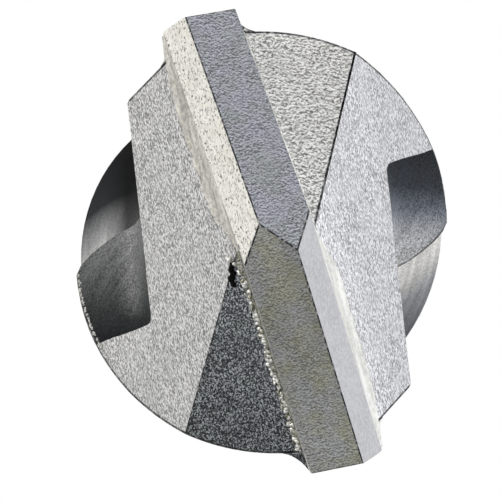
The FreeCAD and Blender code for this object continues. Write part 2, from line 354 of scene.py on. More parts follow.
def turned(p, a, z):
    """The flat point turned about the axis by an angle and lifted to a height."""
    c, s = cos(a), sin(a)
    return Vector((c * p.x - s * p.y, s * p.x + c * p.y, z))


def placed_ring(outline, turn_at, height_at):
    """Both halves of an outline; each point is lifted to its height and turned with it."""
    ring = []
    for half in (0, pi):
        for p in outline:
            z = height_at(p.length)
            ring.append(turned(p, turn_at(z) + half, z))
    return ring


def head_flute(flutes, radius):
    """Outline of the head's own flute from its floor to the rim where the heel meets the land."""
    outline = flute_outline(flutes, flutes.head_web, flutes.head_crest, 0, radius)
    return outline[:flutes.floor_points + flutes.blend_points + flutes.heel_points + 1]


def flute_middle(body, flutes, head):
    """Height at which the middle of the right-hand flute faces +X."""
    points = head_flute(flutes, head.rear_d / 2)
    first, last = points[0], points[-1]
    middle = (atan2(first.y, first.x) + atan2(last.y, last.x)) / 2
    return body.overall - head.gash_depth - flutes.lead * (flutes.azimuth + middle) / (2 * pi)


def crease_rise(head, body, radius):
    """How far the flutes' meeting cone stands over the head's shoulder at a radius."""
    return tan(head.crease) * max(0.0, body.land_d / 2 - radius)


def rounded(ring, radius, z):
    """The same ring pushed out to a full circle at another height, so that no face twists."""
    circle = []
    for p in ring:
        flat = Vector((p.x, p.y, 0)).normalized() * radius
        circle.append(Vector((flat.x, flat.y, z)))
    return circle


def steps_between(low, high, step):
    count = max(1, ceil((high - low) / step))
    return [low + (high - low) * i / count for i in range(count + 1)]


def body_rings(body, flutes, head):
    """Rings from the shank's end to the tip, with the flutes cut into them."""
    gash_z = body.overall - head.gash_depth
    head_z = body.overall - head.length
    shank_r = body.shank_d / 2
    land_r = body.land_d / 2

    def turn(z):
        return flute_turn(body, flutes, head, z)

    spread = body.neck_radius * (1 - cos(body.neck_angle))
    collar_z = body.shank + body.neck_radius * sin(body.neck_angle)
    collar_z += (land_r - shank_r - spread) / tan(body.neck_angle)
    low = collar_z + body.collar
    clear = land_r - flutes.helix_web / 2 + flutes.overrun
    runout = sqrt(2 * flutes.runout_radius * clear - clear ** 2)

    def level(z):
        share = max(0.0, 1 - abs(z - head_z) / head.crease_fade)
        return lambda radius: z + share * crease_rise(head, body, radius)

    fluted = []
    for z in steps_between(low, head_z, flutes.ring_step):
        below = max(0.0, low + runout - z)
        lift = flutes.runout_radius - sqrt(flutes.runout_radius ** 2 - below ** 2)
        outline = flute_outline(flutes, flutes.helix_web, flutes.helix_crest, lift, land_r)
        fluted.append(placed_ring(outline, turn, level(z)))
    crease, last, full = 0.02 * MM, gash_z + 0.06 * MM, gash_z + 0.1 * MM
    taper_z = head_z + head.step + head.taper
    heights = [head_z + crease] + steps_between(head_z + head.step, taper_z, flutes.ring_step)
    heights += steps_between(taper_z, last, flutes.ring_step)[1:]
    for z in heights:
        if z < head_z + head.step:
            radius = land_r
        else:
            share = min(1.0, (z - head_z - head.step) / head.taper)
            radius = head.rear_d / 2 + (head.front_d - head.rear_d) / 2 * share
        outline = flute_outline(flutes, flutes.head_web, flutes.head_crest, 0, radius)
        fluted.append(placed_ring(outline, turn, level(z)))
    above = [rounded(fluted[-1], head.front_d / 2, z) for z in (full, body.overall)]
    plain = [(0, shank_r - body.chamfer)]
    plain += [(z, shank_r) for z in steps_between(body.chamfer, body.shank, 4 * MM)]
    arc_steps = 10
    for i in range(1, arc_steps + 1):
        a = body.neck_angle * i / arc_steps
        radius = shank_r + body.neck_radius * (1 - cos(a))
        plain.append((body.shank + body.neck_radius * sin(a), radius))
    plain.append((collar_z, land_r))
    return [rounded(fluted[0], radius, z) for z, radius in plain] + fluted + above


def mesh_from_rings(rings):
    bm = bmesh.new()
    layers = [[bm.verts.new(p) for p in ring] for ring in rings]
    count = len(rings[0])
    for low, high in zip(layers, layers[1:]):
        for i in range(count):
            j = (i + 1) % count
            bm.faces.new((low[i], low[j], high[j], high[i]))
    bm.faces.new(list(reversed(layers[0])))
    bm.faces.new(layers[-1])
    bmesh.ops.remove_doubles(bm, verts=bm.verts, dist=0.0004 * MM)
    bmesh.ops.dissolve_degenerate(bm, dist=0.0002 * MM, edges=bm.edges)
    bmesh.ops.recalc_face_normals(bm, faces=bm.faces)
    return bm


def slice_off(bm, normal, z):
    """Cuts away all above the plane that crosses the axis at this height, and closes the cut."""
    cut = bmesh.ops.bisect_plane(
        bm, geom=bm.verts[:] + bm.edges[:] + bm.faces[:], dist=0.0001 * MM,
        plane_co=(0, 0, z), plane_no=normal, clear_outer=True,
    )
    edges = [e for e in cut["geom_cut"] if isinstance(e, bmesh.types.BMEdge) and e.is_boundary]
    bmesh.ops.holes_fill(bm, edges=edges, sides=0)


def new_object(name, bm):
    mesh = bpy.data.meshes.new(name)
    bm.to_mesh(mesh)
    bm.free()
    piece = bpy.data.objects.new(name, mesh)
    bpy.context.scene.collection.objects.link(piece)
    return piece


def box_into(bm, low, high, turn=0.0):
    made = bmesh.ops.create_cube(bm, size=1)["verts"]
    middle = (Vector(low) + Vector(high)) / 2
    size = Vector(high) - Vector(low)
    bmesh.ops.scale(bm, vec=size, verts=made)
    bmesh.ops.translate(bm, vec=middle, verts=made)
    bmesh.ops.rotate(bm, cent=(0, 0, 0), matrix=Matrix.Rotation(turn, 3, "Z"), verts=made)


def groove_into(bm, body):
    """One drive groove's cutter: a bar with a round run-out."""
    floor = body.shank_d / 2 - body.groove_depth
    rise = 2 * body.groove_depth
    end = acos(1 - rise / body.groove_cutter)
    steps = 14
    side = [(floor, -MM), (floor, body.groove_length)]
    for i in range(1, steps + 1):
        a = end * i / steps
        z = body.groove_length + body.groove_cutter * sin(a)
        side.append((floor + body.groove_cutter * (1 - cos(a)), z))
    side.append((floor + rise, -MM))
    near = [bm.verts.new((x, -body.groove_width / 2, z)) for x, z in side]
    far = [bm.verts.new((x, body.groove_width / 2, z)) for x, z in side]
    bm.faces.new(near)
    bm.faces.new(list(reversed(far)))
    for i in range(len(side)):
        j = (i + 1) % len(side)
        bm.faces.new((near[j], near[i], far[i], far[j]))
    return near + far


def recess_into(bm, body):
    """One locking recess's cutter: a round bar with round ends."""
    centre_y = body.lock_web / 2 + body.lock_radius
    chord = sqrt(body.lock_radius ** 2 - (centre_y - body.shank_d / 2) ** 2)
    low = body.lock_start + chord
    high = body.lock_start + body.lock_length - chord
    made = bmesh.ops.create_uvsphere(bm, u_segments=72, v_segments=36, radius=body.lock_radius)["verts"]
    for vert in made:
        vert.co.z += high if vert.co.z > 1e-7 else low
        vert.co.y += centre_y
    return made


def subtract(piece, cutter_bm):
    """Cuts the closed shapes in cutter_bm out of the piece."""
    bmesh.ops.recalc_face_normals(cutter_bm, faces=cutter_bm.faces)
    cutter = new_object("cutter", cutter_bm)
    modifier = piece.modifiers.new("cut", "BOOLEAN")
    modifier.operation = "DIFFERENCE"
    modifier.solver = "EXACT"
    modifier.object = cutter
    apply_modifiers(piece)
    bpy.data.objects.remove(cutter)


def apply_modifiers(piece):
    bpy.context.view_layer.update()
    evaluated = piece.evaluated_get(bpy.context.evaluated_depsgraph_get())
    mesh = bpy.data.meshes.new_from_object(evaluated)
    piece.modifiers.clear()
    piece.data = mesh
    mesh.name = piece.name


def split_finely(bm, wanted, longest):
    """Halves the long edges of the wanted faces until none is longer than asked."""
    for _ in range(8):
        edges = {e for f in bm.faces if wanted(f) for e in f.edges if e.calc_length() > longest}
        if not edges:
            return
        bmesh.ops.subdivide_edges(bm, edges=list(edges), cuts=1)
        bmesh.ops.triangulate(bm, faces=[f for f in bm.faces if len(f.verts) > 3])


def make_ragged(bm, wanted, depth):
    """Moves the points of the wanted faces about, in coarse and fine waves."""
    coarse, fine = 0.5 * MM, 0.17 * MM
    verts = {v for f in bm.faces if wanted(f) for v in f.verts}
    for v in verts:
        v.co += depth * (noise.noise_vector(v.co / coarse) + 0.5 * noise.noise_vector(v.co / fine))


def lump_into(bm, place, size, dice, material_index):
    """A small uneven lump, flattened and turned at random."""
    made = bmesh.ops.create_icosphere(bm, subdivisions=2, radius=1)["verts"]
    shift = Vector((dice.random(), dice.random(), dice.random())) * 50
    stretch = Vector((dice.uniform(0.7, 1.3), dice.uniform(0.7, 1.5), dice.uniform(0.5, 0.8)))
    turn = Matrix.Rotation(dice.uniform(0, pi), 3, "Z")
    for v in made:
        v.co *= 1 + 0.45 * noise.noise(v.co * 1.3 + shift)
        v.co = turn @ Vector([a * b * size for a, b in zip(v.co, stretch)]) + place
    for face in {f for v in made for f in v.link_faces}:
        face.material_index = material_index
        face.smooth = True


@contextlib.contextmanager
def mesh_of(piece, merge=False):
    """Opens the piece's mesh for changes; with merge its doubled points are joined first."""
    bm = bmesh.new()
    bm.from_mesh(piece.data)
    if merge:
        bmesh.ops.remove_doubles(bm, verts=bm.verts, dist=MERGE * MM)
    yield bm
    bm.to_mesh(piece.data)
    bm.free()


def add_lumps(piece, lumps, names, dice):
    """Adds lumps, each a place, a size and one of the names of the piece's materials."""
    with mesh_of(piece) as bm:
        for place, size, name in lumps:
            lump_into(bm, place, size, dice, names.index(name))


def copy_of_node(node, name):
    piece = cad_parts[node].copy()
    piece.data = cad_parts[node].data.copy()
    piece.parent = None
    piece.name = name
    piece.data.name = name
    for key in list(piece.keys()):
        del piece[key]
    bpy.context.scene.collection.objects.link(piece)
    return piece


class Nodes:
    """Short ways to add and join the shader nodes of a new material or world."""

    def __init__(self, name, kind="materials"):
        self.owner = getattr(bpy.data, kind).new(name)
        self.owner.use_nodes = True
        self.tree = self.owner.node_tree
        self.tree.nodes.clear()

    @functools.cached_property
    def place(self):
        return self.add("ShaderNodeTexCoord", "Object")

    def add(self, kind, output, inputs=None, **values):
        """Adds a node, sets its values and inputs, and returns the named or numbered output."""
        node = self.tree.nodes.new(kind)
        for key, value in values.items():
            setattr(node, key, value)
        for key, value in (inputs or {}).items():
            self.put(value, node.inputs[key])
        return node.outputs[output]

    def put(self, value, socket):
        """Joins a socket to the input, or sets a constant; a number stands for a grey."""
        if isinstance(value, bpy.types.NodeSocket):
            self.tree.links.new(value, socket)
        elif socket.type == "RGBA":
            tone = (value,) * 3 if isinstance(value, (int, float)) else value
            socket.default_value = (*tone, 1)
        else:
            socket.default_value = value

    def show(self, shader, kind="ShaderNodeOutputMaterial"):
        self.put(shader, self.tree.nodes.new(kind).inputs["Surface"])
        return self.owner

    def noise(
        self, grain_mm, detail=2.0, roughness=0.5, stretch=None, distortion=0.0, offset=None, place=None
    ):
        """Noise whose features are about grain_mm wide."""
        place = place or self.place
        if offset:
            place = self.add("ShaderNodeVectorMath", "Vector", {0: place, 1: offset}, operation="ADD")
        if stretch:
            place = self.add("ShaderNodeMapping", "Vector", {"Vector": place, "Scale": stretch})
        return self.add("ShaderNodeTexNoise", "Fac", {
            "Vector": place, "Scale": 1 / (grain_mm * MM), "Detail": detail, "Roughness": roughness,
            "Distortion": distortion,
        })

    def crystals(self, grain_mm):
        """A number from 0 to 1 for each small crystal, the same all over it."""
        inputs = {"Vector": self.place, "Scale": 1 / (grain_mm * MM)}
        colours = self.add("ShaderNodeTexVoronoi", "Color", inputs)
        return self.add("ShaderNodeSeparateColor", "Red", {"Color": colours})

    def spread(self, value, low, high, to_low=0.0, to_high=1.0):
        inputs = {"Value": value, "From Min": low, "From Max": high, "To Min": to_low, "To Max": to_high}
        return self.add("ShaderNodeMapRange", "Result", inputs, clamp=True)

    def math(self, operation, first, second):
        return self.add("ShaderNodeMath", "Value", {0: first, 1: second}, operation=operation)

    def mix(self, share, first, second, blend="MIX"):
        inputs = {MIX_SHARE: share, MIX_FIRST: first, MIX_SECOND: second}
        return self.add("ShaderNodeMix", MIX_RESULT, inputs, data_type="RGBA", blend_type=blend)

    def times(self, first, second):
        return self.mix(1.0, first, second, "MULTIPLY")

    def weighted(self, first, first_part, second, second_part):
        first = self.math("MULTIPLY", first, first_part)
        return self.math("ADD", first, self.math("MULTIPLY", second, second_part))

    def axis(self, name, place=None):
        return self.add("ShaderNodeSeparateXYZ", name, {"Vector": place or self.place})

    def along(self, direction):
        """How far the place lies along a direction."""
        inputs = {0: self.place, 1: direction}
        return self.add("ShaderNodeVectorMath", "Value", inputs, operation="DOT_PRODUCT")

    def turned_back(self, lead, level):
        """The place turned back about the axis as the flutes turn, so that it follows a flute."""
        above = self.math("SUBTRACT", self.axis("Z"), level)
        inputs = {"Vector": self.place, "Angle": self.math("MULTIPLY", above, -2 * pi / lead)}
        return self.add("ShaderNodeVectorRotate", "Vector", inputs, rotation_type="Z_AXIS")

    def surface(self, tone, rough, metal, height, depth_mm, specular=0.5):
        """Finishes the material: its tone, roughness, metal and a relief of this depth."""
        relief = self.add("ShaderNodeBump", "Normal", {"Distance": depth_mm * MM, "Height": height})
        return self.show(self.add("ShaderNodeBsdfPrincipled", "BSDF", {
            "Base Color": tone, "Roughness": rough, "Metallic": metal, "Normal": relief,
            "Specular IOR Level": specular,
        }))


def height_tones(n, tones, level=None):
    """Tone by height, or by another level: pairs of millimetres and a colour, from the lowest up."""
    level = level or n.axis("Z")
    tone = tones[0][1]
    for (low, _), (high, upper) in zip(tones, tones[1:]):
        tone = n.mix(n.spread(level, low * MM, high * MM), tone, upper)
    return tone


def blasted(
    name, base, grain_mm, dim, pale, depth_mm=0.012, rough=0.5, metal=0.6, middle=0.0, pits=0.0,
    pit_mm=0.11, tint=None, painted_light_ramp=None, lit=LIT_LEFT, painted_sparkle=0.0, stretch=None,
):
    """Grainy blasted or sintered surface: each grain painted pale on its lit side and dim on the other as
    painted shading, with small crystals that can get painted glints, pits, a clouded tone and real relief.
    dim and pale are shares of the base tone, middle moves the balance between them, and the light ramp,
    when given, brightens it along an axis as painted light."""
    n = Nodes(name)
    grain = n.noise(grain_mm, detail=1.2, stretch=stretch)
    shifted = n.noise(grain_mm, detail=1.2, stretch=stretch, offset=lit * (GRAIN_SHIFT * grain_mm * MM))
    cloud = n.noise(1.6, detail=3.0, roughness=0.6)
    # Painted shading: how much the grain rises towards the lit direction
    facing_light = n.math("SUBTRACT", shifted, grain)
    # Painted glints: each crystal moves the painted shading up or down at random
    if painted_sparkle:
        facing_light = n.math("ADD", facing_light, n.spread(n.crystals(CRYSTAL), 0, 1, -painted_sparkle, painted_sparkle))
    share = n.spread(facing_light, middle - GRAIN_STEP, middle + GRAIN_STEP)
    if not painted_sparkle:
        strength = n.spread(cloud, 0.38, 0.62, 0.65, 1.2)
        share = n.math("ADD", n.math("MULTIPLY", n.math("SUBTRACT", share, 0.5), strength), 0.5)
    tone = base
    if tint:
        tone = n.mix(n.spread(n.noise(1.1, roughness=0.6), 0.38, 0.62), base, tint)
    tone = n.times(tone, n.mix(share, dim, pale))
    # Painted light: the tone brightens along an axis
    if painted_light_ramp:
        axis, low, high, factor = painted_light_ramp
        tone = n.times(tone, n.mix(n.spread(n.axis(axis), low * MM, high * MM), 1, factor))
    if pits:
        pitted = n.spread(n.noise(pit_mm, detail=1.0), 0.4, 0.33, 0, pits)
        tone = n.mix(pitted, tone, (0.08, 0.07, 0.06))
    tone = n.mix(n.spread(cloud, 0.35, 0.7, 0.0, 0.22), tone, [c * 0.6 for c in base])
    rough = n.spread(grain, 0.3, 0.7, rough + 0.1, rough - 0.08)
    return n.surface(tone, rough, metal, grain, depth_mm)


def smooth_steel(name, base, streak_mm, rough, metal, stain=0.25, across=False):
    """Milled or ground steel: fine streaks along or across, a clouded tone and a soft sheen."""
    n = Nodes(name)
    stretch = (1, 1, 14) if across else (1, 1, 0.12)
    streak = n.noise(streak_mm, detail=4.0, roughness=0.65, stretch=stretch)
    fine = n.noise(0.07)
    cloud = n.noise(3.0, detail=3.0, roughness=0.6)
    tone = n.times(base, n.mix(n.spread(streak, 0.35, 0.65), 0.8, 1.14))
    tone = n.mix(n.spread(cloud, 0.42, 0.72, 0.0, stain), tone, [c * 0.45 for c in base])
    rough = n.spread(streak, 0.3, 0.7, rough - 0.06, rough + 0.1)
    return n.surface(tone, rough, metal, n.weighted(streak, 0.7, fine, 0.3), 0.004)


def braze_metal(name, base, stain, stains=0.8, dim=0.7):
    """Pale braze that ran and froze: rippled, with burnt specks and whiter clouds."""
    n = Nodes(name)
    ripple = n.noise(0.25, detail=4.0, roughness=0.6, distortion=0.6)
    speck = n.noise(0.12)
    cloud = n.noise(2.4)
    height = n.weighted(ripple, 0.5, n.noise(0.24, stretch=(1, 0.05, 0.4)), 0.5)
    tone = n.mix(n.spread(height, 0.38, 0.62), [c * dim for c in base], [min(1, c * 1.22) for c in base])
    tone = n.mix(n.spread(speck, 0.42, 0.3, 0.0, stains), tone, stain)
    tone = n.mix(n.spread(cloud, 0.5, 0.75, 0.0, 0.3), tone, (0.9, 0.88, 0.82))
    return n.surface(tone, n.spread(ripple, 0.3, 0.7, 0.5, 0.34), 0.5, height, 0.05)


def flute_steel(name, bare, lead, level):
    """Steel of the flutes: bright where bare, dull and heat-tinted towards the head, with painted light and
    shade in the tinted tone, different for each flute, a painted shade ramp across the left one, and streaks
    that follow them."""
    n = Nodes(name)
    place = n.turned_back(lead, level)
    streak = n.noise(0.45, detail=4.0, roughness=0.62, stretch=(1, 1, 0.07), place=place)
    fine = n.noise(0.1)
    cloud = n.noise(3.5, detail=3.0, roughness=0.6)
    # Each flute gets its own painted light and shade; the left one is darker where it lies less far along
    # LIT_LEFT, as painted shade
    right = n.spread(n.axis("X", place), -3 * MM, 3 * MM)
    painted_shade_ramp = n.spread(n.along(LIT_LEFT), 6.5 * MM, 8.0 * MM, 0.12, 1.15)
    left_tone = n.times(height_tones(n, FLUTE_LEFT_TINT_AND_PAINTED_SHADING), n.mix(painted_shade_ramp, 0, 1))
    tinted = n.mix(right, left_tone, height_tones(n, FLUTE_RIGHT_TINT_AND_PAINTED_SHADING))
    is_bare = n.spread(n.axis("Z"), *(z * MM for z in BARE_STEEL), 1.0, 0.0)
    share = n.spread(n.weighted(streak, 0.5, fine, 0.5), 0.38, 0.62)
    tone = n.times(n.mix(is_bare, tinted, bare), n.mix(share, 0.68, 1.32))
    tone = n.mix(n.spread(cloud, 0.45, 0.75, 0.0, 0.3), tone, n.times(tone, 0.5))
    rough = n.math("ADD", n.spread(is_bare, 0, 1, 0.58, 0.3), n.spread(streak, 0.3, 0.7, -0.05, 0.08))
    metal = n.math("MULTIPLY", is_bare, 0.85)
    return n.surface(tone, rough, metal, n.weighted(streak, 1.0, fine, 0.4), 0.008, specular=0.03)


def edge_line(colours):
    """Thin painted dark line of shade along an edge, broken here and there by a paler painted highlight
    where the light would catch it.
    """
    n = Nodes("painted_edge_line")
    breaks = n.noise(0.2)
    tone = n.mix(n.spread(breaks, 0.5, 0.66), colours.edge, colours.edge_pale)
    return n.surface(tone, n.spread(breaks, 0.3, 0.7, 0.7, 0.5), 0.0, breaks, 0.02, specular=0.1)


def dull_speckle_and_painted_shade(name, streak_mm, tones, painted_highlight_at=None, crease=None):
    """Dull, streaked and speckled dark surface for the head's flutes and for burnt flux: its tone runs along
    LIT_ABOVE by the given tones, which in the head's flutes are painted light and shade; with a painted
    highlight streak where its place is given and a painted dark line of shade along the crease, whose cone
    has its point at the first height and this slope."""
    n = Nodes(name)
    streak = n.noise(streak_mm, detail=4.0, roughness=0.6, stretch=(0.35, 0.35, 1.5), distortion=0.4)
    speckle = n.spread(n.weighted(streak, 0.35, n.noise(0.1), 0.65), 0.4, 0.6)
    tone = height_tones(n, tones, n.along(LIT_ABOVE))
    # Painted highlight: a paler streak across the left flute, strongest towards LIT_ABOVE
    if painted_highlight_at:
        middle, half = (size * MM for size in painted_highlight_at)
        to_left = n.along(LIT_LEFT)
        rise = n.spread(to_left, middle - half, middle)
        fall = n.spread(to_left, middle, middle + half, 1.0, 0.0)
        upper = n.spread(n.along(LIT_ABOVE), -3.1 * MM, -1.9 * MM, 0.0, 0.5)
        tone = n.mix(n.math("MULTIPLY", n.math("MULTIPLY", rise, fall), upper), tone, (0.26, 0.265, 0.27))
    tone = n.times(tone, n.mix(speckle, 0.4, 1.6))
    # Painted shade: a dark line along the crease where the flutes meet
    if crease:
        point, slope = crease
        x, y = n.axis("X"), n.axis("Y")
        radius = n.math("POWER", n.weighted(x, x, y, y), 0.5)
        above = n.math("ADD", n.axis("Z"), n.math("MULTIPLY", radius, slope))
        line = n.spread(above, point + 0.1 * MM, point + 0.28 * MM, 0.85, 0.0)
        tone = n.mix(line, tone, (0.01, 0.011, 0.013))
    return n.surface(tone, n.spread(streak, 0.3, 0.7, 0.5, 0.66), 0.0, streak, 0.02, specular=0.03)


def finish(piece, pick, materials, painted_edge_shade=None, widths=(), sharp_degrees=28):
    """Gives each face the material that pick names and smooths all but the real edges. Where the
    painted-edge function gives an edge one of the widths in millimetres, it becomes a narrow strip of the
    edge material, a painted dark line of shade."""
    mesh = piece.data
    mesh.materials.clear()
    names = list(materials)
    for name in names:
        mesh.materials.append(materials[name])
    for face in mesh.polygons:
        face.material_index = names.index(pick(face))
    limit = radians(sharp_degrees)
    if painted_edge_shade:
        with mesh_of(piece) as bm:
            for width in widths:
                edges = []
                for edge in bm.edges:
                    if len(edge.link_faces) == 2 and edge.calc_face_angle() > limit:
                        beside = sorted(names[face.material_index] for face in edge.link_faces)
                        if "edge" not in beside and painted_edge_shade(edge, beside) == width:
                            edges.append(edge)
                bmesh.ops.bevel(
                    bm, geom=edges, offset=width * MM, segments=1, profile=0.5, affect="EDGES",
                    clamp_overlap=False, material=names.index("edge"),
                )
    mesh.shade_smooth()
    mesh.set_sharp_from_angle(angle=limit)


def cut_body(piece, body, head):
    """Cuts the shank's grooves and recesses, the flats before the plate and the plate's slot."""
    grooves = bmesh.new()
    for half in (0, pi):
        made = groove_into(grooves, body) + recess_into(grooves, body)
        bmesh.ops.rotate(grooves, cent=(0, 0, 0), matrix=Matrix.Rotation(half, 3, "Z"), verts=made)
    subtract(piece, grooves)
    low, high, far = body.overall - head.slot_depth, body.overall + MM, head.front_d
    flats = bmesh.new()
    for half in (0, pi):
        box_into(flats, (head.flat_radius, -far, low), (far, far, high), head.flat_azimuth + half)
    subtract(piece, flats)
    slot = bmesh.new()
    box_into(slot, (-head.slot_width / 2, -far, low), (head.slot_width / 2, far, high))
    subtract(piece, slot)
    if len(piece.data.polygons) < FEWEST_FACES:
        raise RuntimeError("the steel body lost its faces in a cut")


def burr_lumps(body, flutes, head, dice):
    """Places and sizes of the small lumps along the left flute's edge, a little inside its rim."""
    before_rim, rim = head_flute(flutes, head.rear_d / 2)[-2:]
    inward = (before_rim - rim).normalized()
    head_z = body.overall - head.length
    lumps = []
    for _ in range(BURR_COUNT):
        z = dice.uniform(head_z + BURR_LOW * MM, head_z + BURR_HIGH * MM)
        p = rim + inward * ((BURR_INSIDE + abs(dice.gauss(0, BURR_SCATTER))) * MM)
        at = turned(p, flute_turn(body, flutes, head, z) + pi, z)
        lumps.append((at, dice.uniform(*BURR_SIZES) * MM, "burr"))
    return lumps


class BIT_OT_steel_body(bpy.types.Operator):
    """Sweeps the fluted steel body, cuts its point, slot and grooves, and finishes each surface"""

    bl_idname = "bit.steel_body"
    bl_label = "Steel Body"

    def execute(self, context):
        body, flutes, head, colours = settings(context)
        top = body.overall
        bm = mesh_from_rings(body_rings(body, flutes, head))
        facets = []
        # Painted light and shade on the point: on the first side the wedge is a painted lit copy and the
        # gash a lighter painted lit copy; on the second side the wedge is a painted shade copy
        for side, wedge, gash in ((1, "wedge_bright", "gash_cool"), (-1, "wedge_dark", "gash_warm")):
            for name, plane in ((wedge, wedge_plane(head)), (gash, gash_plane(head, flutes))):
                slope_x, slope_y, depth = plane
                normal = Vector((side * slope_x, side * slope_y, 1)).normalized()
                slice_off(bm, normal, top - depth)
                facets.append((name, normal))
        piece = new_object("fluted_steel_body", bm)
        cut_body(piece, body, head)
        head_z = top - head.length
        ground_z = body.shank + body.neck_radius
        middle_z = flute_middle(body, flutes, head)
        crease_cone = (head_z + crease_rise(head, body, 0), tan(head.crease))

        def pick(face):
            z = face.center.z
            n = face.normal
            r = hypot(face.center.x, face.center.y)
            for name, normal in facets:
                if n.dot(normal) > SAME_PLANE:
                    return name
            if z > head_z + crease_rise(head, body, r):
                outward = (n.x * face.center.x + n.y * face.center.y) / max(r, 1e-9)
                if outward > RIM_SHARE and r > body.land_d / 2 - 0.1 * MM:
                    return "rim"
                a = 2 * pi * (z - middle_z) / flutes.lead
                turned_x = face.center.x * cos(a) + face.center.y * sin(a)
                return "head_right" if turned_x > 0 else "head_left"
            return "flute" if z > ground_z else "shank"

        materials = {
            "wedge_bright": blasted(
                "blasted_wedge_bright", colours.wedge_bright, 0.135, 0.2, 1.3, depth_mm=0.02, rough=0.55,
                middle=-0.02, pits=0.9, lit=LIT_ABOVE,
            ),
            # The wedge in painted shade, with painted glints on its crystals
            "wedge_dark": blasted(
                "blasted_wedge_dark", colours.wedge_dark, 0.085, 0.35, 6.9, depth_mm=0.02, rough=0.6,
                middle=0.065, tint=(0.08, 0.088, 0.09), painted_sparkle=0.13,
            ),
            # The painted lit gash also brightens along X towards the plate as painted light
            "gash_cool": blasted(
                "blasted_gash_cool", colours.blasted_painted_lit, 0.11, 0.38, 1.43, painted_light_ramp=("X", 3.4, 1.9, 1.18),
                stretch=GASH_GRAIN,
            ),
            "gash_warm": blasted(
                "blasted_gash_warm", colours.blasted, 0.11, 0.3, 1.62, middle=-0.005, pits=0.4,
                stretch=GASH_GRAIN,
            ),
            "rim": blasted("blasted_rim", colours.blasted, 0.13, 0.5, 1.4),
            # The head's flute walls: painted light and shade along LIT_ABOVE, a painted highlight streak on
            # the left and a painted shade line along the right crease
            "head_right": dull_speckle_and_painted_shade("head_flute_painted_shading_right", 0.9, HEAD_RIGHT_PAINTED_SHADING, crease=crease_cone),
            "head_left": dull_speckle_and_painted_shade("head_flute_painted_shading_left", 0.9, HEAD_LEFT_PAINTED_SHADING, painted_highlight_at=(6.3, 0.7)),
            "edge": edge_line(colours),
            "burr": smooth_steel("bright_burr", BURR, 0.2, 0.4, 0.5, stain=0),
            "flute": flute_steel("milled_flute_steel", colours.flute_bright, flutes.lead, middle_z),
            "shank": smooth_steel("ground_shank_steel", colours.shank_steel, 0.6, 0.34, 0.85, across=True),
        }

        # Widths of the painted dark lines of shade along the head's edges; none low on the head
        def painted_edge_shade(edge, beside):
            if min(v.co.z for v in edge.verts) < head_z + BURR_LOW * MM:
                return 0
            if "rim" in beside:
                return RIM_LINE
            return RIDGE_LINE if beside == ["gash_cool", "wedge_bright"] else FACET_LINE

        finish(piece, pick, materials, painted_edge_shade, (RIDGE_LINE, RIM_LINE, FACET_LINE))
        dice = random.Random(3)
        add_lumps(piece, burr_lumps(body, flutes, head, dice), list(materials), dice)
        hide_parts("steel_body")
        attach(piece, "root")
        return {"FINISHED"}


class BIT_OT_carbide_tip(bpy.types.Operator):
    """Refines the carbide plate and gives its flanks, rakes and sides their own grain"""

    bl_idname = "bit.carbide_tip"
    bl_label = "Carbide Tip"

    def execute(self, context):
        colours = context.scene.bit_finishes
        piece = copy_of_node("carbide_tip", "ground_carbide_plate")
        with mesh_of(piece, merge=True) as bm:
            bmesh.ops.dissolve_limit(bm, angle_limit=radians(1), verts=bm.verts, edges=bm.edges)

        # Each facet of the one carbide gets its own tone by the way it faces, a painted reflection of the
        # studio: bluish upper flank, olive lower flank, cream and lavender rakes
        def pick(face):
            n = face.normal
            if n.z < SIDE_SLOPE:
                return "side"
            if n.z > FLANK_SLOPE:
                return "flank_blue" if n.y > 0 else "flank_olive"
            return "rake_cream" if n.x < 0 else "rake_lavender"

        ground = {"depth_mm": 0.01, "rough": 0.45, "metal": 0.5}
        materials = {
            "side": blasted("carbide_side", colours.carbide_side, 0.2, 0.6, 1.4, **ground),
            "flank_blue": blasted(
                "carbide_flank_blue", colours.flank_blue, 0.1, 0.25, 1.9, **ground,
                tint=(0.21, 0.222, 0.23), lit=LIT_ABOVE,
            ),
            # The lower flank also brightens along Y towards its outer end as painted light
            "flank_olive": blasted(
                "carbide_flank_olive", colours.flank_olive, 0.1, 0.5, 1.95, **ground,
                tint=(0.27, 0.275, 0.28), painted_light_ramp=("Y", -4, -9, 1.4), lit=LIT_ABOVE,
            ),
            "rake_cream": blasted(
                "carbide_rake_cream", colours.rake_cream, 0.15, 0.7, 1.12, depth_mm=0.01, rough=0.4,
                metal=0.4, middle=-0.04, pits=1.0, pit_mm=0.12, tint=(0.76, 0.74, 0.68), stretch=(1, 0.7, 1),
            ),
            "rake_lavender": blasted(
                "carbide_rake_lavender", colours.rake_lavender, 0.14, 0.86, 1.14, depth_mm=0.005, rough=0.4,
                metal=0.5,
            ),
            "edge": edge_line(colours),
        }

        # Widths of the painted dark lines of shade along the plate's edges; none between a side and a rake
        # or a lengthwise edge
        def painted_edge_shade(edge, beside):
            along = (edge.verts[0].co - edge.verts[1].co).normalized()
            if beside[1] == "side" and (beside[0].startswith("rake") or abs(along.y) > 0.5):
                return 0
            return PLATE_LINE

        finish(piece, pick, materials, painted_edge_shade, (PLATE_LINE,))
        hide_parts("carbide_tip")
        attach(piece, "root")
        return {"FINISHED"}


